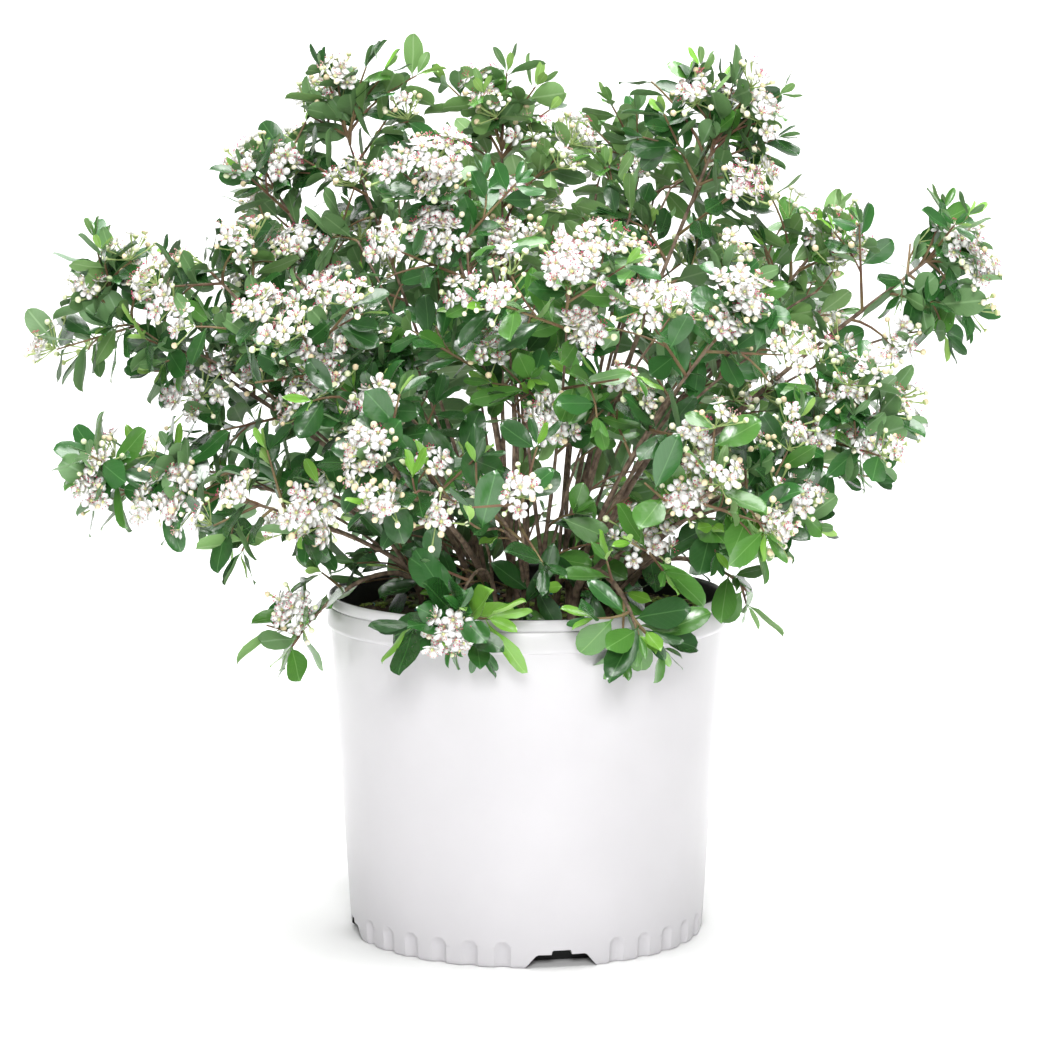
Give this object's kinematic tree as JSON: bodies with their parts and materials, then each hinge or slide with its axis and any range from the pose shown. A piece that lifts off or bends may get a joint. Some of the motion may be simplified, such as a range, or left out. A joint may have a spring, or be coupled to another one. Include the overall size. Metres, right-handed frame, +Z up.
{
  "type": "potted chokeberry shrub",
  "caption": "Multi-stemmed flowering chokeberry shrub with spreading leafy shoots, standing in a round white plastic nursery pot filled with soil.",
  "frame": {"origin": "centre of the pot's flat underside, on the surface that the pot stands on", "axes": "+Z up along the pot's axis; -Y is the front that the picture shows; +X to the right seen from the front"},
  "size_m": [0.6866, 0.5144, 0.6218],
  "materials": {
    "pot": "white satin moulded plastic outside, black plastic inside",
    "soil": "dark brown bark-based potting mix with moss and slow-release fertiliser prills",
    "bark": "smooth grey-brown young bark with fine lenticels",
    "foliage": "glossy green leaves, white blossom with pink anthers, reddish-green twigs"
  },
  "bodies": {
    "root": {"foliage_back_left": "foliage", "foliage_back_left_low": "foliage", "foliage_back_right": "foliage", "foliage_back_right_low": "foliage", "foliage_back_top": "foliage", "foliage_front_centre": "foliage", "foliage_front_left": "foliage", "foliage_front_left_low": "foliage", "foliage_front_low": "foliage", "foliage_front_right": "foliage", "foliage_front_right_low": "foliage", "foliage_front_top": "foliage", "foliage_left_arm": "foliage", "foliage_left_low": "foliage", "foliage_left_shoulder": "foliage", "foliage_left_under": "foliage", "foliage_left_upper": "foliage", "foliage_right_arm": "foliage", "foliage_right_low": "foliage", "foliage_right_mid": "foliage", "foliage_right_upper": "foliage", "foliage_rim_front": "foliage", "foliage_rim_front_right": "foliage", "foliage_rim_left": "foliage", "foliage_rim_right": "foliage", "foliage_top": "foliage", "foliage_top_left": "foliage", "foliage_top_mid_right": "foliage", "foliage_top_right": "foliage", "pot": "pot", "soil": "soil", "stem_back_left": "bark", "stem_back_left_low": "bark", "stem_back_right": "bark", "stem_back_right_low": "bark", "stem_back_top": "bark", "stem_front_centre": "bark", "stem_front_left": "bark", "stem_front_left_low": "bark", "stem_front_low": "bark", "stem_front_right": "bark", "stem_front_right_low": "bark", "stem_front_top": "bark", "stem_left_arm": "bark", "stem_left_low": "bark", "stem_left_shoulder": "bark", "stem_left_under": "bark", "stem_left_upper": "bark", "stem_right_arm": "bark", "stem_right_low": "bark", "stem_right_mid": "bark", "stem_right_upper": "bark", "stem_rim_front": "bark", "stem_rim_front_right": "bark", "stem_rim_left": "bark", "stem_rim_right": "bark", "stem_top": "bark", "stem_top_left": "bark", "stem_top_mid_right": "bark", "stem_top_right": "bark"}
  },
  "joints": []
}
